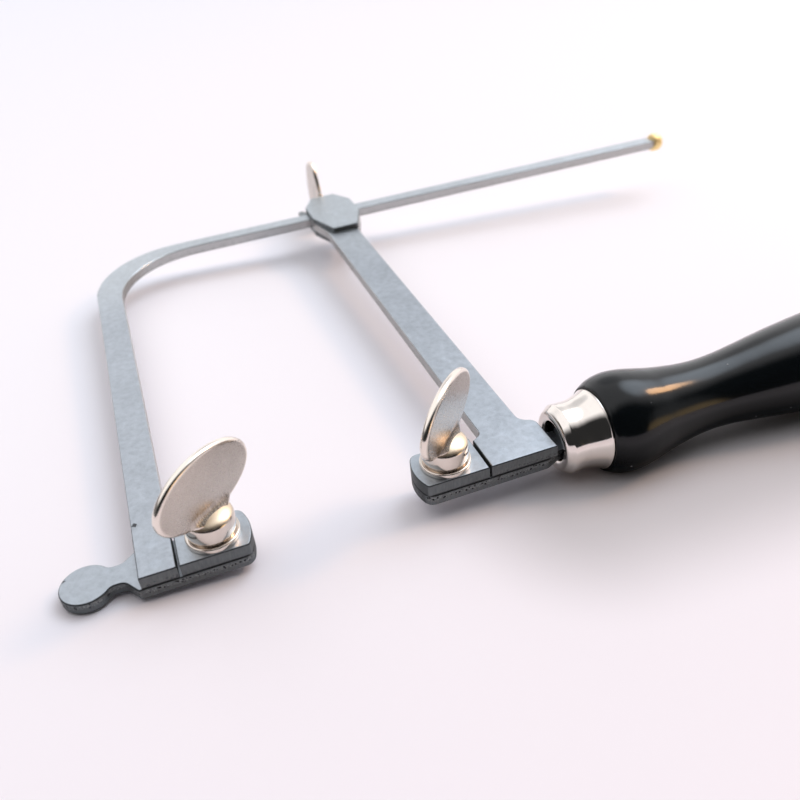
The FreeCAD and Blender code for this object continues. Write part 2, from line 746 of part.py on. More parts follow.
# ------------------------------------------------ stop screw, ferrule, handle
def build_stop_screw():
    """Stop screw in the end of the spine, its head towards +X."""
    body = new_body("spine_stop_screw")
    sketch = new_sketch(body, "stop_profile", "XZ_Plane")
    outline(sketch, [
        ("0", "-stop_shank_len"),
        ("stop_shank-0.2", "-stop_shank_len"),
        ("stop_shank", "-stop_shank_len+0.2"),
        ("stop_shank", "0"),
        ("stop_r-0.9", "0"),
        ("stop_r-0.9", "0.4"),
        ("stop_r-0.3", "0.4", "0.35", "R"),
        ("stop_r", "0.7"),
        ("stop_r", "stop_len-1.3", "1.5", "R"),
        ("stop_r-1.1", "stop_len-0.15"),
        ("0.5", "stop_len"),
        ("0", "stop_len"),
    ])
    revolve(body, sketch, "stop_turn", "V_Axis")
    place(body, "spine_end", SPINE_MID, "0.5*bow_t",
          FreeCAD.Rotation(FreeCAD.Vector(0, 1, 0), 90))


def build_ferrule():
    """Hollow ring, turned about the handle axis."""
    body = new_body("ferrule")
    sketch = new_sketch(body, "ferrule_profile")
    outline(sketch, [
        ("ferrule_x+1.3", "ferrule_hole"),
        ("ferrule_x+1.3", "spigot_r"),
        ("ferrule_x+6.2", "spigot_r", "16", "R"),
        ("ferrule_end", "ferrule_rr-0.45"),
        ("ferrule_end", "ferrule_rr", "0.3", "L"),
        ("ferrule_end-0.45", "ferrule_rr-0.1", "9.5", "R"),
        ("ferrule_x+5.4", "ferrule_rm-0.06", "30", "R"),
        ("ferrule_x+1.5", "ferrule_rm", "1.7", "L"),
        ("ferrule_x", "ferrule_rm-1.2", "0.75", "L"),
        ("ferrule_x+0.45", "ferrule_hole"),
    ])
    revolve(body, sketch, "ferrule_turn", "H_Axis")
    place(body, "0", "-handle_y", "0")


def build_handle():
    """Turned grip: a spigot inside the ferrule, then a smooth curve through
    the stations.  A slot takes the tang."""
    stations = [("grip_x%d" % i, "grip_r%d" % i) for i in range(1, len(GRIP) + 1)]
    nose = ("grip_end-0.09", "1.1")
    spigot = [
        ("ferrule_x+1.8", "0"),
        ("ferrule_x+1.8", "spigot_r-0.5"),
        ("ferrule_x+2.3", "spigot_r-0.02"),
        ("ferrule_x+6.2", "spigot_r-0.14"),
        ("ferrule_end+0.01", "ferrule_rr-0.62"),
    ]
    curve = Part.BSplineCurve()
    curve.interpolate(Points=[point(p) for p in stations + [nose]],
                      InitialTangent=FreeCAD.Vector(0.8, 0.6, 0),
                      FinalTangent=FreeCAD.Vector(0.17, -0.985, 0))
    body = new_body("handle")
    sketch = new_sketch(body, "grip_profile")
    corners = spigot + [stations[0], nose, ("grip_end", "0")]
    edges = []
    for start, end in zip(corners, corners[1:] + corners[:1]):
        # the curve spans from the first station to the nose
        is_curve = start == stations[0]
        shape = curve if is_curve else Part.LineSegment(point(start), point(end))
        edges.append((sketch.addGeometry(shape, False), 1, 2))
    close_loop(sketch, edges, corners)
    doc.recompute()
    revolve(body, sketch, "grip_turn", "H_Axis")
    sketch = new_sketch(body, "tang_slot", offset="-plate_t")
    outline(sketch, tang_path("0"))
    pocket(body, sketch, "plate_t", "tang_pocket", reverse=True)
    place(body, "0", "-handle_y", "0")


# ---------------------------------------------------------------------- build
build_bow()
build_front_plate()
build_jaw_plate("front_jaw_plate", "-front_x", False)
build_jaw_plate("rear_jaw_plate", "0", True)
build_clamp_screws()
build_slider_screw()
build_rivets("front_clamp_rivets", FRONT_RIVETS, "-plate_t", "plate_t+bow_t")
build_rivets("rear_clamp_rivets", REAR_RIVETS, "-plate_t", "plate_t+arm_t")
build_rivets("slider_rivets", HEAD_RIVETS + BLOCK_RIVETS, "-cheek_t", "2*cheek_t+arm_t")
build_rear_arm()
build_rear_plate()
build_cheek("slider_top_cheek", "arm_t", "arm_t+cheek_t")
build_cheek("slider_bottom_cheek", "-cheek_t", "-cheek_t")
build_screw_block()
build_shoe()
build_stop_screw()
build_ferrule()
build_handle()

# ------------------------------------------------------------ check and write
doc.recompute()
for item in doc.Objects:
    if "Invalid" in item.State or "Error" in item.State:
        raise RuntimeError("%s is %s" % (item.Label, item.State))
os.makedirs("parts", exist_ok=True)
for node in NODES:
    if node.Shape.isNull() or not node.Shape.isValid():
        raise RuntimeError("bad shape: " + node.Label)
    node.Shape.exportStep("parts/%s.step" % node.Label)
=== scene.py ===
"""A steel hand frame: bow, jaw plates, three winged thumb screws, brass stop screw and handle.

The handle's axis runs along X, with its free end at +X. The front and rear thumb screws stand
up along +Z and the slider's thumb screw points along +Y. The CAD pieces keep their meshes and
get new materials, except for the turned pieces and the wings, which are modelled here.
Outlines are in millimetres. Scene positions and shader distances are in metres.
"""
import bmesh
import bpy
import math
from mathutils import Matrix, Vector


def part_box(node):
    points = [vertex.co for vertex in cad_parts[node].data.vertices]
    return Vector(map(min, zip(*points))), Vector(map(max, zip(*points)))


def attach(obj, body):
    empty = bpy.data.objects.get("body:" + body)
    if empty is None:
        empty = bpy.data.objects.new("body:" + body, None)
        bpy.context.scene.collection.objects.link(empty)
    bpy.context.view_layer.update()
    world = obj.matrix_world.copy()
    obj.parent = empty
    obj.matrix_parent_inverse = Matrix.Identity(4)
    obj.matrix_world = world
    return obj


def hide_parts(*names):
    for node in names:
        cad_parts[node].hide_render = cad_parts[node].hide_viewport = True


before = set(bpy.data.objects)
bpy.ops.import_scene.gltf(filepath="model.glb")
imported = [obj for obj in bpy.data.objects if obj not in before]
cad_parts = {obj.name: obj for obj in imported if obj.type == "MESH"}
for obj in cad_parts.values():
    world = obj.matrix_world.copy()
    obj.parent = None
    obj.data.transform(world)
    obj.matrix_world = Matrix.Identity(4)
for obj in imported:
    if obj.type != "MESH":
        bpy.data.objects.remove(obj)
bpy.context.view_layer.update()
MM = 0.001
PI = math.pi

# Large head, used by the front and rear screws, and small head, used by the slider's
COLLAR, COLLAR_HEIGHT = 5.1, 1.0
NECK, NECK_HEIGHT = 4.7, 6.0
SMALL_COLLAR = 2.7
SMALL_NECK, SMALL_NECK_HEIGHT = 2.45, 2.4

# Thread: crest radius, root radius and pitch
CREST, ROOT, PITCH = 1.95, 1.62, 0.7
LARGE_SHANK = 6.65
DOG = 1.15              # radius of the slider screw's plain tip

# Oval wing: half width, half height, thickness and the width of its rounded rim
WING_A, WING_B, WING_THICK, WING_RIM = 11.5, 7.3, 1.6, 0.92
WING_CROWN = 0.05       # how far the middle of each flat stands out
WING_LEAN = 4.1         # degrees about X, for the two upright screws
# Centre height above the seat, neck height, and the height, half width and depth of the
# swelling where the wing meets the neck
LARGE_WING = {"centre": 12.1, "neck": NECK_HEIGHT, "reach": 2.3, "spread": 5.2, "depth": 1.5}
SMALL_WING = {"centre": 9.2, "neck": SMALL_NECK_HEIGHT, "reach": 1.2, "spread": 2.6, "depth": 0.7}

HANDLE_END = 137.75
HANDLE_REST_X = 110.5   # where the handle touches the floor


# ----------------------------------------------------------------- node graphs
class Signal:
    """A node output. Arithmetic on it makes Math nodes in its tree."""

    def __init__(self, graph, socket):
        self.graph, self.socket = graph, socket

    def __add__(self, other):
        return self.graph.math("ADD", self, other)

    def __radd__(self, other):
        return self.graph.math("ADD", other, self)

    def __sub__(self, other):
        return self.graph.math("SUBTRACT", self, other)

    def __rsub__(self, other):
        return self.graph.math("SUBTRACT", other, self)

    def __mul__(self, other):
        return self.graph.math("MULTIPLY", self, other)

    def __pow__(self, other):
        return self.graph.math("POWER", self, other)

    def __abs__(self):
        return self.graph.math("ABSOLUTE", self)

    def sibling(self, output):
        """Another output of the same node."""
        return Signal(self.graph, self.socket.node.outputs[output])

    def xyz(self):
        parts = self.graph.node("ShaderNodeSeparateXYZ", {0: self})
        return [parts.sibling(axis) for axis in "XYZ"]

    def times(self, factors):
        """Multiplies a vector or colour by one number or by three."""
        return self.graph.vector("MULTIPLY", self, factors)

    def ramp(self, start, end, top=1.0, base=0.0):
        """Goes smoothly from base, where the signal is start, to top, where it is end."""
        return self.graph.node(
            "ShaderNodeMapRange",
            {"Value": self, "From Min": start, "From Max": end, "To Min": base, "To Max": top},
            interpolation_type="SMOOTHSTEP")

    def noise(self, scale, detail, rough, distortion=0.0, output=0):
        return self.graph.node(
            "ShaderNodeTexNoise",
            {"Vector": self, "Scale": scale, "Detail": detail, "Roughness": rough,
             "Distortion": distortion}, output)

    def cells(self, scale, feature="F1"):
        return self.graph.node("ShaderNodeTexVoronoi", {"Vector": self, "Scale": scale},
                               "Distance", feature=feature)


class Graph:
    """Fills a node tree. Each call makes one node and returns an output as a Signal."""

    def __init__(self, tree):
        self.tree = tree

    def put(self, socket, value):
        """Links a signal, or sets a value, spreading one number over all channels."""
        if isinstance(value, Signal):
            self.tree.links.new(value.socket, socket)
            return
        default = socket.default_value
        channels = len(default) if hasattr(default, "__len__") else 1
        if channels > 1:
            value = list(value) if hasattr(value, "__len__") else [value] * 3
            if channels == 4 and len(value) == 3:
                value.append(1.0)
        socket.default_value = value

    def node(self, kind, inputs, output=0, **settings):
        made = self.tree.nodes.new(kind)
        for key, value in settings.items():
            setattr(made, key, value)
        for key, value in inputs.items():
            self.put(made.inputs[key], value)
        return Signal(self, made.outputs[output])

    def math(self, operation, a, b=0.0, clamp=False):
        return self.node("ShaderNodeMath", {0: a, 1: b}, operation=operation, use_clamp=clamp)

    def vector(self, operation, a, b=(0, 0, 0), output=0):
        return self.node("ShaderNodeVectorMath", {0: a, 1: b}, output, operation=operation)

    def mix(self, factor, a, b):
        return self.node("ShaderNodeMix", {0: factor, 6: a, 7: b}, 2, data_type="RGBA")

    def mix_shader(self, factor, a, b):
        return self.node("ShaderNodeMixShader", {0: factor, 1: a, 2: b})

    def join(self, x, y, z):
        return self.node("ShaderNodeCombineXYZ", {0: x, 1: y, 2: z})

    def bump(self, height, strength, distance):
        return self.node("ShaderNodeBump",
                         {"Height": height, "Strength": strength, "Distance": distance})

    def attribute(self, name):
        return self.node("ShaderNodeAttribute", {}, "Fac", attribute_name=name)

    def coordinate(self, output="Object"):
        return self.node("ShaderNodeTexCoord", {}, output)

    def geometry(self, output):
        return self.node("ShaderNodeNewGeometry", {}, output)

    def finish(self, shader, kind="Material"):
        """Sends a shader to the tree's output node."""
        target = self.tree.nodes.new("ShaderNodeOutput" + kind)
        self.put(target.inputs[0], shader)

    def surface(self, **values):
        """Makes the Principled shader, with its inputs named with underscores."""
        return self.node("ShaderNodeBsdfPrincipled",
                         {key.replace("_", " "): value for key, value in values.items()})


def node_graph(owner):
    """Gives an empty graph for a new material or world."""
    owner.use_nodes = True
    owner.node_tree.nodes.clear()
    return Graph(owner.node_tree)


def new_material(name):
    made = bpy.data.materials.new(name)
    return made, node_graph(made)


def shade(colour, factor):
    return [channel * factor for channel in colour]


# ------------------------------------------------------------------- materials
def steel_flat_colour(graph, position, middle, fine, pit, top, spot):
    """Mottled and pitted blue-grey, with one dark spot where a place (mm) is given."""
    broad = position.noise(scale=95.0, detail=3.0, rough=0.55)
    wander = position.noise(scale=700.0, detail=2.0, rough=0.5, output="Color").times(0.0016)
    patch = graph.vector("ADD", position, wander).cells(780.0, "SMOOTH_F1")
    # weights of the layers, from medium to fine, broad and patchy
    tone = (middle - 0.5) * 0.62 + (
        (fine - 0.5) * 0.50 + ((broad - 0.5) * 0.42 + (patch - 0.40) * 0.42))
    colour = graph.mix(graph.math("ADD", tone, 0.5, clamp=True), shade(top, 0.70),
                       shade(top, 1.24))
    colour = graph.mix(pit * fine.ramp(0.45, 0.62, top=0.55), colour, shade(top, 0.42))
    # painted light: a little brighter and warmer towards +Y
    colour = graph.mix(position.xyz()[1].ramp(0.085, 0.125), colour.times((0.95, 0.95, 0.955)),
                       colour.times((1.15, 1.14, 1.11)))
    if spot:
        far = graph.vector("DISTANCE", position, shade(spot, MM), "Value")
        ragged = position.noise(scale=1900.0, detail=2.0, rough=0.6)
        far = far + (ragged - 0.5) * 0.0016
        colour = graph.mix(far.ramp(0.00062, 0.00040, top=0.85), colour, (0.02, 0.02, 0.02))
    return colour


def steel_wall_colour(graph, wall, side, streak, dots, torn, fine):
    """Streaked side walls, with black and bright grains in the torn band."""
    colour = graph.mix(streak, wall.times(0.70), wall.times(1.30))
    colour = graph.mix((1.0 - dots) * torn, colour, shade(side, 0.06))
    return graph.mix(dots * torn * fine.ramp(0.50, 0.62, top=0.55), colour, (0.42, 0.42, 0.41))


def steel(name, top, side, rough, blanked=False, spot=None):
    """Satin tool steel: tumbled flats, burnished edges and darker, rougher side walls.

    A blanked piece has its torn band below z = 0. Painted shade darkens the seam at z = 0.
    """
    made, graph = new_material(name)
    position = graph.coordinate()
    normal_x, normal_y, normal_z = position.sibling("Normal").xyz()
    upright = abs(normal_z)
    flat = upright.ramp(0.80, 0.97)
    edge = upright.ramp(0.10, 0.35) * upright.ramp(0.97, 0.86)
    middle = position.noise(scale=820.0, detail=4.0, rough=0.62, distortion=0.6)
    fine = position.noise(scale=3800.0, detail=3.0, rough=0.65)
    pit = position.cells(1250.0).ramp(0.16, 0.05)
    # streaks run across the thickness
    streak = position.times((1.0, 1.0, 0.22)).noise(scale=2600.0, detail=3.0, rough=0.6)
    dots = position.cells(1450.0).ramp(0.20, 0.42)
    z = position.xyz()[2]
    y = position.xyz()[1]
    if blanked:
        wavy = z + (middle - 0.5) * 0.0010
        torn = wavy.ramp(-0.00150, -0.00110) * wavy.ramp(-0.00030, -0.00060)
        smooth = 0.0
        wall = graph.mix(smooth, side, side)
    else:
        torn = z.ramp(0.0016, 0.0007) * 0.35
        # walls are smooth far along +Y, and nearer too where they face along X
        across = abs(normal_x).ramp(0.55, 0.92)
        smooth = graph.math("MAXIMUM", across * y.ramp(0.0045, 0.0060), y.ramp(0.0060, 0.0150))
        smooth_colour = graph.mix(across, (0.47, 0.475, 0.475), (0.40, 0.385, 0.365))
        wall = graph.mix(smooth, side, smooth_colour)

    # painted shade: a thin dark line along the seam at z = 0, on the walls
    seam_shade = abs(z).ramp(0.00036, 0.00018) * upright.ramp(0.97, 0.80)
    # a painted dark reflection darkens the edges on the -Y side, and a painted highlight
    # brightens the edges on the +Y side
    edge_dark_reflection = edge * (1.0 - seam_shade) * (normal_y.ramp(0.05, -0.30) * y.ramp(0.030, 0.010))
    edge_highlight = edge * (1.0 - seam_shade) * (normal_y.ramp(-0.15, 0.25) * y.ramp(0.0050, 0.0065))
    # walls that face along X, at low y, are darkened
    x_wall_dark = abs(normal_x).ramp(0.80, 0.97) * y.ramp(0.0062, 0.0052)

    colour = graph.mix(flat, steel_wall_colour(graph, wall, side, streak, dots, torn, fine),
                       steel_flat_colour(graph, position, middle, fine, pit, top, spot))
    # painted shade: the seam is made nearly black
    colour = graph.mix(seam_shade * 0.88, colour, (0.020, 0.021, 0.022))
    # painted dark reflection on the edges facing -Y
    colour = graph.mix(edge_dark_reflection, colour, shade(top, 0.10))
    colour = graph.mix(x_wall_dark * 0.75, colour, (0.03, 0.031, 0.032))
    # painted highlight on the edges facing +Y
    colour = graph.mix(edge_highlight, colour, shade(top, 1.15))

    # walls start from roughness 0.46, smooth ones from 0.32, and edges are glossier
    wall_rough = 0.46 - graph.math("MULTIPLY", smooth, 0.14)
    roughness = graph.mix(flat, wall_rough, rough) + (middle - 0.5) * 0.22 - edge * 0.16
    flat_height = fine * 0.55 + (middle * 0.6 - pit * 0.5)
    wall_height = streak * 0.8 + torn * dots * 2.6
    height = flat_height * flat + wall_height * (1.0 - flat)
    # the painted shade in the seam, the painted dark reflection on the -Y edges and the darkened
    # walls facing X are not metallic
    dark_nonmetal = graph.math("MAXIMUM", x_wall_dark * 0.92, seam_shade * 0.85)
    dark_nonmetal = graph.math("MAXIMUM", dark_nonmetal, edge_dark_reflection * 0.75)
    graph.finish(graph.surface(
        Base_Color=colour, Metallic=1.0 - dark_nonmetal, Roughness=roughness, Specular_IOR_Level=0.12,
        Normal=graph.bump(height, strength=0.60, distance=0.00004)))
    return made


def nickel(name, colour, rough, ring_depth, ring_scale, crown=False):
    """Bright nickel plate with a little haze and fine turning rings round local Z."""
    made, graph = new_material(name)
    position = graph.coordinate()
    z = position.xyz()[2]
    haze = position.noise(scale=420.0, detail=4.0, rough=0.6, distortion=0.4)
    fine = position.noise(scale=5200.0, detail=2.0, rough=0.5)
    ring = graph.join(0.0, 0.0, z).noise(scale=ring_scale, detail=2.0, rough=0.7)
    tint = graph.mix(haze, shade(colour, 0.90), shade(colour, 1.06))
    # painted shade: near black where the point attribute marks a bore
    tint = graph.mix(graph.attribute("inside"), tint, (0.012, 0.011, 0.010))
    roughness = rough + haze ** 2.0 * 0.12
    height = fine * 0.12 + ring * ring_depth
    if crown:
        # the brazed crown of the neck is grainy and duller than the turned barrel; its golden
        # colour is a painted reflection of warm light
        above = z.ramp(0.0047, 0.0052)
        filed = position.noise(scale=3300.0, detail=3.0, rough=0.75)
        golden = graph.mix(filed, (0.56, 0.45, 0.33), (0.92, 0.77, 0.58))
        tint = graph.mix(above, tint, golden)
        roughness = roughness + above * 0.24
        height = height + above * filed * 1.6
    graph.finish(graph.surface(
        Base_Color=tint, Metallic=1.0, Roughness=roughness,
        Normal=graph.bump(height, strength=0.35, distance=0.00003)))
    return made


def wing_metal(name, face, rim):
    """Satin grained flats, a polished rim, and upright file marks by the neck."""
    made, graph = new_material(name)
    position = graph.coordinate()
    x, _, z = position.xyz()
    edge = graph.attribute("rim")
    grain = position.times((1.0, 1.0, 0.8)).noise(scale=4200.0, detail=4.0, rough=0.7)
    cloud = position.noise(scale=260.0, detail=3.0, rough=0.55)
    file_marks = graph.join(x, 0.0, z * 0.10).noise(scale=3600.0, detail=1.0, rough=0.4)
    near_neck = z.ramp(0.0092, 0.0066) * abs(x).ramp(0.0064, 0.0040)
    tone = graph.math("ADD", (grain - 0.5) * 0.7, cloud * 0.9, clamp=True)
    colour = graph.mix(tone, shade(face, 0.86), shade(face, 1.10))
    marked = near_neck * file_marks.ramp(0.42, 0.60, top=0.5)
    colour = graph.mix(marked, colour, shade(face, 0.45))
    # roughness about 0.27 on the flats and 0.13 on the rim
    roughness = graph.mix(edge, 0.27 + (grain - 0.5) * 0.22, 0.13)
    height = (grain * 1.0 + near_neck * file_marks * 2.6) * (1.0 - edge * 0.92)
    graph.finish(graph.surface(
        Base_Color=graph.mix(edge, colour, rim), Metallic=1.0, Roughness=roughness,
        Normal=graph.bump(height, strength=0.45, distance=0.00004)))
    return made


def lacquer(name):
    """Black gloss lacquer over turned wood, with orange peel, rubbed patches and dust."""
    made, graph = new_material(name)
    position = graph.coordinate()
    peel = position.noise(scale=330.0, detail=2.0, rough=0.5)
    grain = position.times((0.06, 1.0, 1.0)).noise(scale=1500.0, detail=3.0, rough=0.6)
    rub = position.times((1.0, 0.25, 0.25)).noise(scale=160.0, detail=4.0, rough=0.65)
    dusty = position.noise(scale=60.0, detail=1.0, rough=0.5).ramp(0.44, 0.54)
    speck = position.cells(330.0).ramp(0.072, 0.040) * dusty
    colour = graph.mix(grain, (0.0015, 0.0024, 0.0030), (0.0042, 0.0060, 0.0074))
    colour = graph.mix(speck * 0.7, colour, (0.32, 0.33, 0.34))
    roughness = 0.135 + (rub.ramp(0.45, 0.75) * 0.07 + speck * 0.3)
    height = peel * 1.0 + (grain * 0.22 + speck * 1.2)
    # painted shade: faces that look down reflect less, as if the floor below them lay in shadow
    upward = graph.geometry("True Normal").xyz()[2]
    graph.finish(graph.surface(
        Base_Color=colour, Roughness=roughness, IOR=1.50,
        Specular_IOR_Level=upward.ramp(-0.30, 0.30, base=0.03, top=0.33),
        Normal=graph.bump(height, strength=0.22, distance=0.00006)))
    return made


def brass(name):
    """Dull turned brass with rings round local Z."""
    made, graph = new_material(name)
    position = graph.coordinate()
    z = position.xyz()[2]
    ring = graph.join(0.0, 0.0, z).noise(scale=7000.0, detail=2.0, rough=0.7)
    spots = position.noise(scale=900.0, detail=4.0, rough=0.6)
    graph.finish(graph.surface(
        Base_Color=graph.mix(spots, (0.96, 0.68, 0.28), (1.0, 0.88, 0.52)),
        Metallic=1.0, Roughness=0.48 + spots * 0.16,
        Normal=graph.bump(ring + spots * 0.4, strength=0.25, distance=0.00003)))
    return made


MATERIALS = {
    "steel_bar": steel("steel_bar_satin", top=(0.445, 0.480, 0.520), side=(0.150, 0.163, 0.166),
                       rough=0.38, spot=(-59.2, 8.8, 2.7)),
    "steel_plate": steel("steel_plate_satin", top=(0.435, 0.472, 0.510),
                         side=(0.148, 0.162, 0.166), rough=0.38, blanked=True,
                         spot=(-73.3, 3.0, 0.0)),
    "steel_dark": steel("steel_dark_oiled", top=(0.22, 0.235, 0.25), side=(0.12, 0.125, 0.13),
                        rough=0.42),
    "steel_rivet": steel("steel_rivet_ground", top=(0.455, 0.495, 0.54),
                         side=(0.16, 0.17, 0.175), rough=0.35),
    "nickel": nickel("nickel_bright", (0.72, 0.645, 0.575), rough=0.095, ring_depth=0.5,
                     ring_scale=9000.0, crown=True),
    "ferrule": nickel("nickel_ferrule", (0.83, 0.77, 0.715), rough=0.055, ring_depth=0.25,
                      ring_scale=5200.0),
    "nickel_wing": wing_metal("nickel_wing_satin", face=(0.56, 0.50, 0.445),
                              rim=(0.86, 0.78, 0.70)),
    # painted shade: a darker copy of the wing metal, for the rear wing
    "nickel_wing_shaded": wing_metal("nickel_wing_shaded", face=(0.31, 0.27, 0.235),
                                   rim=(0.84, 0.76, 0.68)),
    "brass": brass("brass_turned"),
    "lacquered_wood": lacquer("lacquer_black"),
}
# each CAD material is named after its slot
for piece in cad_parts.values():
    piece.data.materials[0] = MATERIALS[piece.data.materials[0].name]


# ------------------------------------------------------------------ mesh tools
def rounded(points, segments=6):
    """Turns each fillet of an outline into an arc. Points are (s, r) or (s, r, fillet)."""
    out = []
    for i, point in enumerate(points):
        fillet = point[2] if len(point) > 2 else 0.0
        if fillet <= 0 or i == 0 or i == len(points) - 1:
            out.append(point[:2])
            continue
        corner = Vector(point[:2])
        back = Vector(points[i - 1][:2]) - corner
        ahead = Vector(points[i + 1][:2]) - corner
        back_length, ahead_length = back.length, ahead.length
        back.normalize()
        ahead.normalize()
        half = math.acos(max(-1, min(1, back.dot(ahead)))) / 2
        if half > PI / 2 - 0.01:    # nearly straight, so there is no corner to round
            out.append(point[:2])
            continue
        # the arc may use up at most 0.49 of either side
        reach = min(fillet / math.tan(half), 0.49 * back_length, 0.49 * ahead_length)
        radius = reach * math.tan(half)
        centre = corner + (back + ahead).normalized() * (radius / math.sin(half))
        start = corner + back * reach - centre
        turn = start.angle_signed(corner + ahead * reach - centre)
        steps = max(3, int(segments * abs(turn) / (PI / 2)) + 2)
        for k in range(steps + 1):
            angle = -turn * k / steps
            cos, sin = math.cos(angle), math.sin(angle)
            out.append((centre.x + start.x * cos - start.y * sin,
                        centre.y + start.x * sin + start.y * cos))
    return out


def dense(points, step):
    """Adds points so that no piece is longer than step."""
    out = [points[0]]
    for a, b in zip(points[:-1], points[1:]):
        count = max(1, math.ceil(math.dist(a, b) / step))
        for k in range(1, count + 1):
            out.append((a[0] + (b[0] - a[0]) * k / count, a[1] + (b[1] - a[1]) * k / count))
    return out


def cubic(stations, x):
    """Radius at x on a smooth cubic through the (x, radius) stations."""
    last = len(stations) - 1
    i = next((k for k in range(last) if x <= stations[k + 1][0]), last - 1)

    def rise(k):
        (x0, y0), (x1, y1) = stations[k:k + 2]
        return (y1 - y0) / (x1 - x0)

    def slope(k):
        if k == 0:
            return rise(0)
        if k == last:
            return rise(last - 1)
        before = stations[k][0] - stations[k - 1][0]
        after = stations[k + 1][0] - stations[k][0]
        return (rise(k - 1) * after + rise(k) * before) / (before + after)

    (x0, y0), (x1, y1) = stations[i:i + 2]
    span = x1 - x0
    t = (x - x0) / span
    return ((2 * t ** 3 - 3 * t * t + 1) * y0 + (t ** 3 - 2 * t * t + t) * slope(i) * span
            + (-2 * t ** 3 + 3 * t * t) * y1 + (t ** 3 - t * t) * slope(i + 1) * span)


def skin(ring_pairs, flip=False):
    """Faces between pairs of rings. A ring of one vertex is a pole."""
    faces = []
    for ring, following in ring_pairs:
        count = max(len(ring), len(following))
        for k in range(count):
            a, b = k, (k + 1) % count
            if flip:
                a, b = b, a
            if len(ring) == 1:
                faces.append((ring[0], following[b], following[a]))
            elif len(following) == 1:
                faces.append((ring[a], ring[b], following[0]))
            else:
                faces.append((ring[a], ring[b], following[b], following[a]))
    return faces


def link_object(name, data):
    made = bpy.data.objects.new(name, data)
    bpy.context.scene.collection.objects.link(made)
    return made


def smooth_object(name, verts, faces, attributes, matrix):
    mesh = bpy.data.meshes.new(name)
    mesh.from_pydata(verts, [], faces)
    mesh.update()
    for key, values in attributes.items():
        mesh.attributes.new(key, "FLOAT", "POINT").data.foreach_set("value", values)
    mesh.polygons.foreach_set("use_smooth", [True] * len(mesh.polygons))
    made = link_object(name, mesh)
    made.matrix_world = matrix
    return made


def lathe(name, profile, segments, matrix, radius=None, closed=False, inside=None):
    """Spins (s, r) points round local Z.

    radius(s, r, angle) may change r, as for a thread. A point with r = 0 becomes a pole.
    closed joins the last ring to the first. The last argument, a function of (s, r), fills a
    point attribute of its own name, which marks painted shade in a bore.
    """
    verts, rings = [], []
    for s, r in profile:
        first = len(verts)
        if r <= 1e-6:
            verts.append((0, 0, s * MM))
        else:
            for k in range(segments):
                angle = 2 * PI * k / segments
                actual = radius(s, r, angle) if radius else r
                verts.append((actual * MM * math.cos(angle), actual * MM * math.sin(angle),
                              s * MM))
        rings.append(range(first, len(verts)))
    pairs = list(zip(rings[:-1], rings[1:]))
    if closed:
        pairs.append((rings[-1], rings[0]))
    attributes = {}
    if inside:
        attributes["inside"] = [inside(z / MM, math.hypot(x, y) / MM) for x, y, z in verts]
    return smooth_object(name, verts, skin(pairs), attributes, matrix)


def face_outward(made):
    mesh = bmesh.new()
    mesh.from_mesh(made.data)
    bmesh.ops.recalc_face_normals(mesh, faces=mesh.faces[:])
    if mesh.calc_volume(signed=True) < 0:
        bmesh.ops.reverse_faces(mesh, faces=mesh.faces[:])
    mesh.to_mesh(made.data)
    mesh.free()


def install(made, material, body, node):
    """Gives a piece its material and puts it on a body in place of a CAD node."""
    made.data.materials.append(MATERIALS[material])
    face_outward(made)
    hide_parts(node)
    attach(made, body)


def box_centre(node):
    return Vector([(a + b) / 2 for a, b in zip(*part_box(node))])


# ---------------------------------------------------------------- thumb screws
def screw_seats():
    """Where each screw's collar sits: on its jaw plate, or below the slider screw's top."""
    seats = {}
    for which in ("front", "rear"):
        seats[which] = box_centre(which + "_screw_body")
        seats[which].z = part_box(which + "_jaw_plate")[1].z
    seats["slider"] = box_centre("slider_screw_body")
    seats["slider"].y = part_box("slider_screw_body")[1].y - SMALL_NECK_HEIGHT * MM
    return seats


def rotation(degrees, axis):
    return Matrix.Rotation(math.radians(degrees), 4, axis)


SEATS = screw_seats()
TURNS = {
    "front": rotation(38.0, "Z"),
    "rear": rotation(46.0, "Z"),
    "slider": rotation(-90.0, "X") @ rotation(90.0, "Z"),
}


def shank_outline(low, thread_top, thread_end, dog):
    """From the tip up to the seat at s = 0. dog is the radius of a plain tip, or 0."""
    if dog:
        shank = rounded([(low, 0), (low, dog, 0.25), (thread_end - 0.15, dog),
                         (thread_end - 0.05, ROOT)])
        s = thread_end
    else:
        shank = [(low, 0), (low, ROOT - 0.25), (low + 0.3, ROOT)]
        s = thread_end + 0.35
    while s < thread_top:
        shank.append((s, ROOT))
        s += PITCH / 10
    return shank + [(thread_top + 0.1, ROOT), (-0.05, ROOT), (0.0, ROOT + 0.02)]


def small_head():
    return rounded([
        (0.0, SMALL_COLLAR - 0.3), (0.0, SMALL_COLLAR, 0.2), (0.62, SMALL_COLLAR, 0.2),
        (0.85, SMALL_NECK, 0.1), (SMALL_NECK_HEIGHT, SMALL_NECK, 0.45),
        (SMALL_NECK_HEIGHT, 0.4)], 8)[1:]


def large_head(end):
    """Collar, groove, slightly swelling neck and domed crown up to s = end."""
    outline = rounded([
        (0.0, COLLAR - 0.35), (0.0, COLLAR, 0.24), (COLLAR_HEIGHT, COLLAR, 0.30),
        (COLLAR_HEIGHT, NECK - 0.72, 0.12), (COLLAR_HEIGHT + 0.16, NECK - 0.66, 0.12),
        (COLLAR_HEIGHT + 0.55, NECK - 0.18, 0.35)], 8)[1:]
    flank_base, flank_top = COLLAR_HEIGHT + 0.75, 4.35
    for k in range(21):
        t = k / 20
        outline.append((flank_base + (flank_top - flank_base) * t,
                        NECK - 0.14 * (1 - t) ** 2 + 0.05 * math.sin(PI * t)))
    for k in range(1, 30):
        angle = PI / 2 * k / 30
        outline.append((flank_top + (end - flank_top) * math.sin(angle),
                        NECK * math.cos(angle) ** 0.80))
    return outline


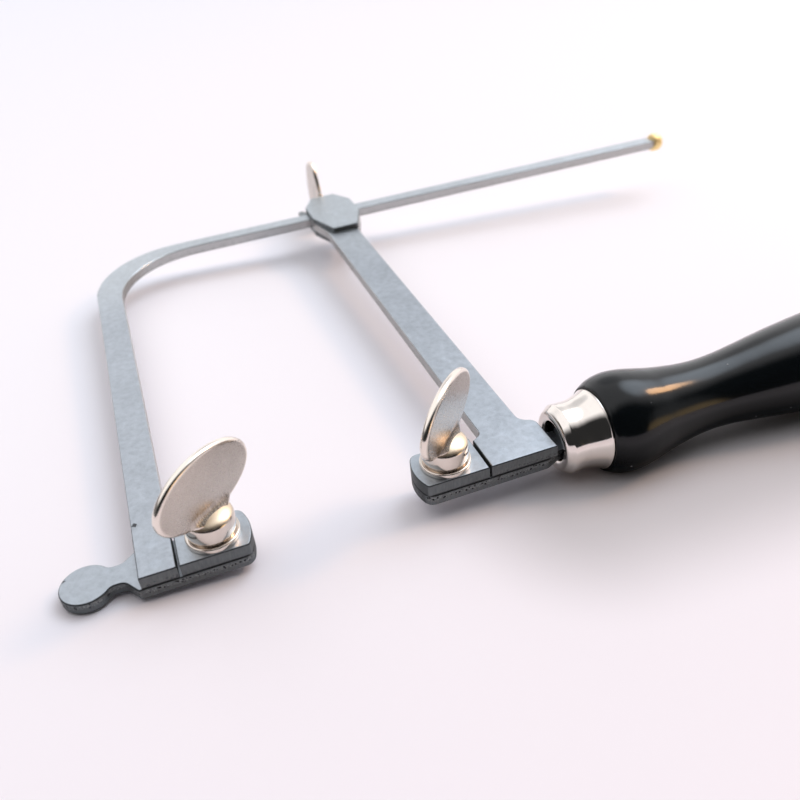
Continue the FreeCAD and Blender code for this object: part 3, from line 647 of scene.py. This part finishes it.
def thumb_screw(which, low, thread_top, thread_end, dog=0):
    """The turned body: threaded shank below the seat, collar and neck above it."""
    end = SMALL_NECK_HEIGHT if dog else NECK_HEIGHT + 0.25
    head = small_head() if dog else large_head(end)
    profile = dense(shank_outline(low, thread_top, thread_end, dog) + head, 0.30)

    def thread(s, r, angle):
        if s >= thread_top or s <= thread_end:
            return r
        fade = min(1.0, (thread_top - s) / 0.35, (s - thread_end) / 0.5)
        phase = (s / PITCH - angle / (2 * PI)) % 1.0
        ridge = 1 - abs(2 * phase - 1)
        return r + (CREST - ROOT) * fade * max(0.0, min(1.0, ridge * 1.25 - 0.05))

    made = lathe(which + "_thumb_screw", profile + [(end, 0.0)], 144,
                 Matrix.Translation(SEATS[which]) @ TURNS[which], thread)
    install(made, "nickel", which + "_screw", which + "_screw_body")


def wing_section():
    """Rows of (inset, share of full size, offset, rim weight), from the middle of one flat,
    round the rim, to the middle of the other flat."""
    half = WING_THICK / 2
    rows = [(WING_RIM, k / 24, half, 0.0) for k in range(25)]
    for k in range(1, 24):
        angle = PI * k / 24
        inset = WING_RIM * (1 - math.sin(angle) ** 0.86)
        offset = half * (1 if angle < PI / 2 else -1) * abs(math.cos(angle)) ** 0.80
        rows.append((inset, 1.0, offset, min(1.0, max(0.0, (math.sin(angle) - 0.10) / 0.30))))
    rows += [(WING_RIM, k / 24, -half, 0.0) for k in range(24, -1, -1)]
    return rows


def oval_wing(which, material, shape, lean):
    """The oval wing, standing in the local XZ plane, with crowned flats and a round rim."""
    segments = 192
    verts, rings, rim = [], [], []
    for inset, share, offset, weight in wing_section():
        first = len(verts)
        crown = math.copysign(WING_CROWN * (1 - share * share), offset)
        if share == 0.0:
            verts.append((0, (offset + crown) * MM, shape["centre"] * MM))
        else:
            for k in range(segments):
                angle = 2 * PI * k / segments
                cos, sin = math.cos(angle), math.sin(angle)
                slant = math.hypot(cos / WING_A, sin / WING_B)
                x = (WING_A * cos - cos / WING_A / slant * inset) * share
                z = shape["centre"] + (WING_B * sin - sin / WING_B / slant * inset) * share
                # the brazed root swells out where the wing meets the neck
                rise = max(0.0, z - shape["neck"] + 0.5)
                root = (max(0.0, 1.0 - rise / shape["reach"]) ** 2
                        * max(0.0, 1.0 - (x / shape["spread"]) ** 4))
                swell = (math.copysign(shape["depth"] * root, offset)
                         * min(1.0, abs(offset) / (WING_THICK / 2)))
                verts.append((x * MM, (offset + crown + swell) * MM, z * MM))
        rings.append(range(first, len(verts)))
        rim += [weight] * len(rings[-1])
    made = smooth_object(
        which + "_screw_oval_wing", verts, skin(zip(rings[:-1], rings[1:]), flip=True),
        {"rim": rim}, Matrix.Translation(SEATS[which]) @ TURNS[which] @ rotation(lean, "X"))
    install(made, material, which + "_screw", which + "_screw_wing")


for which in ("front", "rear"):
    thumb_screw(which, low=-LARGE_SHANK, thread_top=-0.35, thread_end=-LARGE_SHANK)
slider_low = (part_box("slider_screw_body")[0].y - SEATS["slider"].y) / MM
thumb_screw("slider", low=slider_low, thread_top=-0.85, thread_end=-0.85 - 4 * PITCH, dog=DOG)
oval_wing("front", "nickel_wing", LARGE_WING, WING_LEAN)
# the rear wing takes the darker copy of the wing metal, with painted shade
oval_wing("rear", "nickel_wing_shaded", LARGE_WING, WING_LEAN)
oval_wing("slider", "nickel_wing", SMALL_WING, 0.0)

# --------------------------------------------------------- ferrule and handle
AXIS_Y = box_centre("ferrule").y
FERRULE_START, FERRULE_END = (corner.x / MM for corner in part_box("ferrule"))
ALONG_X = Matrix(((0, 0, 1, 0), (1, 0, 0, 0), (0, 1, 0, 0), (0, 0, 0, 1)))
HANDLE_AXIS = Matrix.Translation((0, AXIS_Y, 0)) @ ALONG_X

# (x, radius) of the handle
HANDLE_STATIONS = [
    (32.4, 8.9), (33.8, 9.75), (35.6, 10.35), (37.8, 10.62), (40.2, 10.45), (43.6, 9.8),
    (47.0, 9.0), (50.6, 8.36), (54.4, 7.86), (58.6, 7.62), (63.4, 7.82), (68.6, 8.4),
    (74.4, 9.2), (80.6, 9.96), (87.9, 10.65), (95.6, 11.2), (103.4, 11.7), (110.9, 11.95),
    (118.4, 11.75), (124.9, 10.9), (130.2, 9.4), (134.0, 7.3), (136.3, 4.9)]


def ferrule():
    """A hollow waisted shell with a beaded lip at its +X end."""
    start, end = FERRULE_START, FERRULE_END
    outline = rounded([(start + 1.35, 4.14), (start + 0.15, 4.22, 0.8), (start, 6.05, 1.1),
                       (start + 1.75, 7.40)], 12)[:-1]
    # (x, radius) of the waist
    waist = [(start + 1.75, 7.31), (start + 2.6, 7.30), (start + 4.0, 7.24),
             (start + 5.4, 7.27), (start + 6.6, 7.47), (start + 7.7, 7.77),
             (start + 8.5, 8.06), (end - 0.50, 8.30)]
    for k in range(41):
        x = waist[0][0] + (waist[-1][0] - waist[0][0]) * k / 40
        outline.append((x, cubic(waist, x)))
    outline += rounded([(end - 0.44, 8.33), (end - 0.36, 8.45, 0.08), (end, 8.45, 0.16),
                        (end, 8.05)], 8)
    bore = [(end, 8.02), (end - 0.6, 7.72), (end - 1.6, 7.22), (end - 3.0, 6.62),
            (start + 6.2, 6.5), (start + 1.75, 6.5), (start + 1.6, 4.16)]

    # painted shade: the mouth and the bore are marked to be made near black
    def inside(s, r):
        in_mouth = r < 4.4 and s > start + 1.1
        in_bore = r < 6.9 and start + 1.55 < s < end - 1.0
        return 1.0 if in_mouth or in_bore else 0.0

    made = lathe("ferrule_shell", dense(outline + bore, 0.35), 192, HANDLE_AXIS, closed=True,
                 inside=inside)
    install(made, "ferrule", "handle_frame", "ferrule")


def handle():
    """The turned grip, with a spigot that fills the ferrule."""
    start, end = FERRULE_START, FERRULE_END
    outline = [(start + 1.8, 0.0), (start + 1.8, 5.9), (start + 2.3, 6.36),
               (start + 6.2, 6.34), (end + 0.01, 7.8)]
    outline += rounded([(end + 0.02, 7.9), (end + 0.02, 8.85, 0.12), (end + 0.35, 9.16)])
    step = 0.55
    x = end + step
    while x < 135.2:
        outline.append((x, cubic(HANDLE_STATIONS, x)))
        x += step
    # the end is part of an ellipse that carries on at the same slope
    (x1, r1), (x0, r0) = outline[-2:]
    fall = min(0.48, (r1 - r0) / (x0 - x1) * (HANDLE_END - x0) / r0)
    begin = fall / (1 - fall)
    half_length = (HANDLE_END - x0) / (1 - begin)
    half_height = r0 / math.sqrt(1 - begin * begin)
    for k in range(1, 25):
        angle = math.asin(begin) + (PI / 2 - math.asin(begin)) * k / 24
        outline.append((x0 + half_length * (math.sin(angle) - begin),
                        half_height * math.cos(angle) if k < 24 else 0.0))
    made = lathe("turned_grip", dense(outline, 0.8), 192, HANDLE_AXIS)
    install(made, "lacquered_wood", "handle_frame", "handle")


def stop_screw():
    """The brass screw along X, whose knob starts at the +X end of the bow bar."""
    start, end = (corner.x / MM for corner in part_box("spine_stop_screw"))
    bar_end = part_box("bow_bar")[1].x / MM
    knob = rounded([
        (bar_end, 1.0), (bar_end + 0.32, 1.0, 0.1), (bar_end + 0.38, 1.9, 0.1),
        (bar_end + 0.55, 2.7, 0.25), (bar_end + 1.1, 2.95, 0.4), (bar_end + 2.9, 2.95, 1.1),
        (end - 0.75, 2.15, 0.9), (end - 0.02, 1.05, 0.5), (end, 0.0)], 8)
    centre = box_centre("spine_stop_screw")
    made = lathe("brass_stop_knob", dense([(start, 0.0), (start, 0.98)] + knob, 0.3), 96,
                 Matrix.Translation((0, centre.y, centre.z)) @ ALONG_X)
    install(made, "brass", "bow", "spine_stop_screw")


ferrule()
handle()
stop_screw()


# ------------------------------------------------------------------------ floor
def paper(name):
    """Pale paper, clear from below so that the underside of the frame can be seen."""
    made, graph = new_material(name)
    position = graph.coordinate()
    x, y, _ = position.xyz()
    fibre = position.noise(scale=900.0, detail=3.0, rough=0.6)
    # painted light: the paper is darker towards -Y and brighter towards +Y
    colour = graph.mix(y.ramp(-0.16, 0.12) * 1.0, (0.83, 0.765, 0.80), (0.905, 0.875, 0.91))
    # painted shadow: grey round a line below the ferrule and handle, from x = 0.024 to 0.110 at y
    # = -0.016
    nearest_x = graph.math("MINIMUM", graph.math("MAXIMUM", x, 0.024), 0.110)
    off_x = x - nearest_x
    off_y = y - -0.016
    away = graph.math("SQRT", off_x * off_x + off_y * off_y)
    colour = graph.mix(away.ramp(0.030, 0.004, top=0.50), colour, (0.30, 0.285, 0.275))
    surface = graph.surface(Base_Color=colour, Roughness=0.62, Specular_IOR_Level=0.25,
                            Normal=graph.bump(fibre, strength=0.08, distance=0.00004))
    clear = graph.node("ShaderNodeBsdfTransparent", {})
    graph.finish(graph.mix_shader(graph.geometry("Backfacing"), surface, clear))
    return made


def studio_floor():
    """A large square through the three points the frame rests on, lowered by a small gap."""
    half_size, gap = 6.0, 0.0002

    def bottom(node):
        point = box_centre(node)
        point.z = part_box(node)[0].z
        return point

    grip = Vector((HANDLE_REST_X * MM, AXIS_Y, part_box("handle")[0].z))
    slider, front = bottom("slider_screw_wing"), bottom("front_screw_body")
    up = (grip - front).cross(slider - front).normalized()
    if up.z < 0:
        up.negate()
    centre = front - up * gap
    along_x = Vector((1, 0, 0)).cross(up).cross(up).normalized() * -1
    along_y = up.cross(along_x)
    corners = [centre + along_x * i * half_size + along_y * j * half_size
               for i, j in ((-1, -1), (1, -1), (1, 1), (-1, 1))]
    mesh = bpy.data.meshes.new("studio_floor")
    mesh.from_pydata([tuple(corner) for corner in corners], [], [(0, 1, 2, 3)])
    floor = link_object("studio_floor", mesh)
    mesh.materials.append(paper("floor_paper"))


studio_floor()


# ------------------------------------------------------------------------ light
def toward(azimuth, elevation):
    """Unit direction, in degrees. Azimuth runs from +Y towards +X."""
    a, e = math.radians(azimuth), math.radians(elevation)
    return (math.sin(a) * math.cos(e), math.cos(a) * math.cos(e), math.sin(e))


def soft_studio():
    """A sky of soft patches for lighting and reflections. The camera sees one plain colour."""
    world = bpy.data.worlds.new("soft_studio")
    bpy.context.scene.world = world
    graph = node_graph(world)
    direction = graph.vector("NORMALIZE", graph.coordinate("Generated"))
    x, y, z = direction.xyz()

    def patch(sky, colour, azimuth, elevation, inner, outer):
        """Full colour within inner degrees of a direction, fading out at outer."""
        facing = graph.vector("DOT_PRODUCT", direction, toward(azimuth, elevation), "Value")
        lobe = facing.ramp(math.cos(math.radians(outer)), math.cos(math.radians(inner)))
        return graph.mix(lobe, sky, colour)

    # bright sky, darker low on the -X side
    dim = x.ramp(-0.20, -0.85) * z.ramp(0.72, 0.40)
    sky = graph.mix(dim, (1.24, 1.24, 1.27), (0.20, 0.20, 0.21))
    sky = patch(sky, (0.80, 0.81, 0.84), azimuth=16, elevation=33, inner=6, outer=20)
    # nearly black on the -Y side
    sky = graph.mix(y.ramp(-0.48, -0.08), (0.026, 0.027, 0.028), sky)
    sky = patch(sky, (0.42, 0.42, 0.43), azimuth=118, elevation=6, inner=8, outer=26)
    sky = patch(sky, (3.9, 4.3, 4.8), azimuth=66, elevation=50, inner=6, outer=25)
    sky = patch(sky, (1.9, 1.35, 0.72), azimuth=133, elevation=-2, inner=5, outer=17)
    # pale below the horizon
    sky = graph.mix(z.ramp(-0.02, -0.10), sky, (0.80, 0.78, 0.82))

    lighting = graph.node("ShaderNodeBackground", {"Color": sky, "Strength": 1.0})
    plain = graph.node("ShaderNodeBackground", {"Color": (0.93, 0.91, 0.94), "Strength": 1.0})
    camera_ray = graph.node("ShaderNodeLightPath", {}, "Is Camera Ray")
    graph.finish(graph.mix_shader(camera_ray, lighting, plain), "World")


def warm_lamp():
    """A warm disk on the +X side, one metre from the point it faces."""
    lamp = bpy.data.lights.new("warm_lamp", "AREA")
    lamp.shape = "DISK"
    lamp.size = 0.20
    lamp.energy = 2.2
    lamp.color = (1.0, 0.56, 0.27)
    made = link_object("warm_lamp", lamp)
    target = Vector((0.047, -0.005, 0.008))
    direction = Vector(toward(azimuth=86, elevation=37))
    made.location = target + direction
    made.rotation_mode = "QUATERNION"
    made.rotation_quaternion = direction.to_track_quat("Z", "Y")


# ----------------------------------------------------------------------- camera
def view_camera():
    camera = bpy.data.cameras.new("view_camera")
    made = link_object("view_camera", camera)
    camera.sensor_width = 36.0
    camera.lens = 37.43
    camera.shift_y = -0.00125
    camera.clip_start, camera.clip_end = 0.005, 30.0
    # the camera's own axes in the scene
    right = (0.934384, -0.345340, -0.087566)
    up = (0.269378, 0.523970, 0.808017)
    backward = (-0.233158, -0.778586, 0.582615)
    matrix = Matrix((right, up, backward)).transposed().to_4x4()
    matrix.translation = Vector((-42.7389, -116.6841, 107.7883)) * MM
    made.matrix_world = matrix
    focus = link_object("focus_point", None)
    focus.location = (0.008, 0.004, 0.004)
    camera.dof.use_dof = True
    camera.dof.focus_object = focus
    camera.dof.aperture_fstop = 22.0
    bpy.context.scene.camera = made


soft_studio()
warm_lamp()
view_camera()
bpy.context.scene.view_settings.view_transform = "Standard"
bpy.context.scene.view_settings.look = "None"
